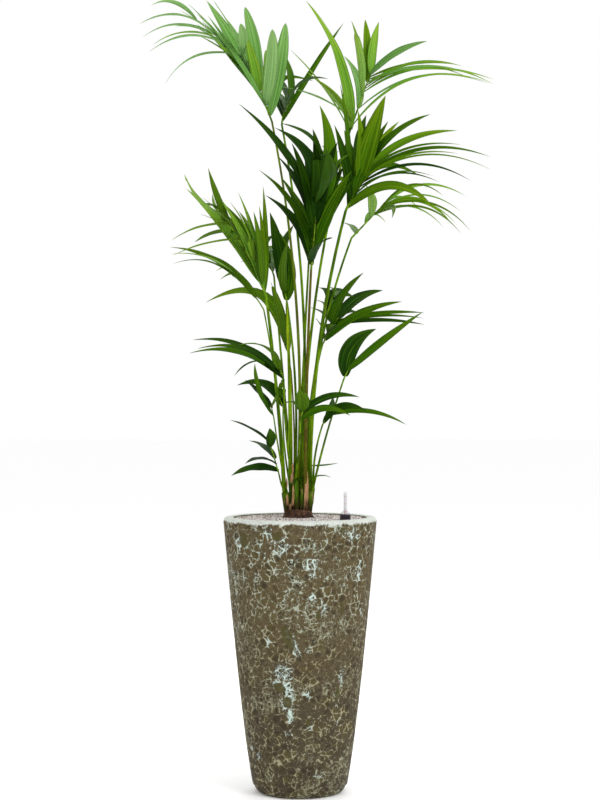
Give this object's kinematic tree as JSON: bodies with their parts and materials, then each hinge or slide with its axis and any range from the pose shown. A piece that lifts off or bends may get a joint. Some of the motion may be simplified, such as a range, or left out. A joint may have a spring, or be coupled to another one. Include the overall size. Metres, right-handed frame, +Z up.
{
  "type": "potted kentia palm",
  "caption": "Kentia palm grown as a clump of slender stalks with feathered fronds, in a tall tapering crackle-glazed planter with gravel and a water gauge.",
  "frame": {"origin": "centre of the planter's flat underside", "axes": "+Z up along the planter's axis, +X to the right and -Y towards the viewer when the palm is seen from its front"},
  "size_m": [0.89, 0.9497, 1.9184],
  "materials": {
    "crackle_glaze": "satin glaze, grey-brown crackle with pale aqua patches",
    "substrate": "loose growing substrate",
    "gravel": "fine mixed gravel, pale with dark grains",
    "root_fibre": "matted brown root fibre",
    "gauge_black": "dark moulded plastic",
    "gauge_clear": "clear moulded plastic",
    "float_red": "red moulded plastic",
    "cane_sheath": "wrapped leaf bases, green with dried tan edges",
    "stalk_green": "smooth yellow-green leaf stalk",
    "leaf_light": "light bluish green leaf",
    "leaf_mid": "mid green leaf",
    "leaf_dark": "dark green leaf"
  },
  "bodies": {
    "root": {"planter": "crackle_glaze", "growing_substrate": "substrate", "gravel_layer": "gravel", "root_mound": "root_fibre", "gauge_sleeve": "gauge_black", "gauge_tube": "gauge_clear", "gauge_float": "float_red", "cane_left": "cane_sheath", "cane_left_back": "cane_sheath", "cane_middle": "cane_sheath", "cane_middle_back": "cane_sheath", "cane_front": "cane_sheath", "cane_right": "cane_sheath", "spear_leaf": "stalk_green", "stalk_top_left": "stalk_green", "stalk_top_left_back": "stalk_green", "stalk_top_right": "stalk_green", "stalk_centre_front": "stalk_green", "stalk_right_front": "stalk_green", "stalk_right_back": "stalk_green", "stalk_left_behind": "stalk_green", "stalk_left_front": "stalk_green", "stalk_left_back": "stalk_green", "stalk_middle_right": "stalk_green", "stalk_low_right_pair": "stalk_green", "stalk_middle_left": "stalk_green", "stalk_low_left_small": "stalk_green", "stalk_middle_left_back": "stalk_green", "stalk_lowest_left": "stalk_green", "stalk_low_right": "stalk_green", "stalk_low_front": "stalk_green", "stalk_middle_back": "stalk_green", "stalk_back_left": "stalk_green", "stalk_back_centre": "stalk_green", "stalk_back_right": "stalk_green", "frond_top_left": "leaf_light", "frond_top_left_back": "leaf_light", "frond_top_right": "leaf_light", "frond_centre_front": "leaf_dark", "frond_right_front": "leaf_dark", "frond_right_back": "leaf_light", "frond_left_behind": "leaf_mid", "frond_left_front": "leaf_mid", "frond_left_back": "leaf_dark", "frond_middle_right": "leaf_mid", "frond_low_right_pair": "leaf_mid", "frond_middle_left": "leaf_mid", "frond_low_left_small": "leaf_mid", "frond_middle_left_back": "leaf_dark", "frond_lowest_left": "leaf_dark", "frond_low_right": "leaf_dark", "frond_low_front": "leaf_mid", "frond_middle_back": "leaf_dark", "frond_back_left": "leaf_mid", "frond_back_centre": "leaf_mid", "frond_back_right": "leaf_mid"}
  },
  "joints": []
}
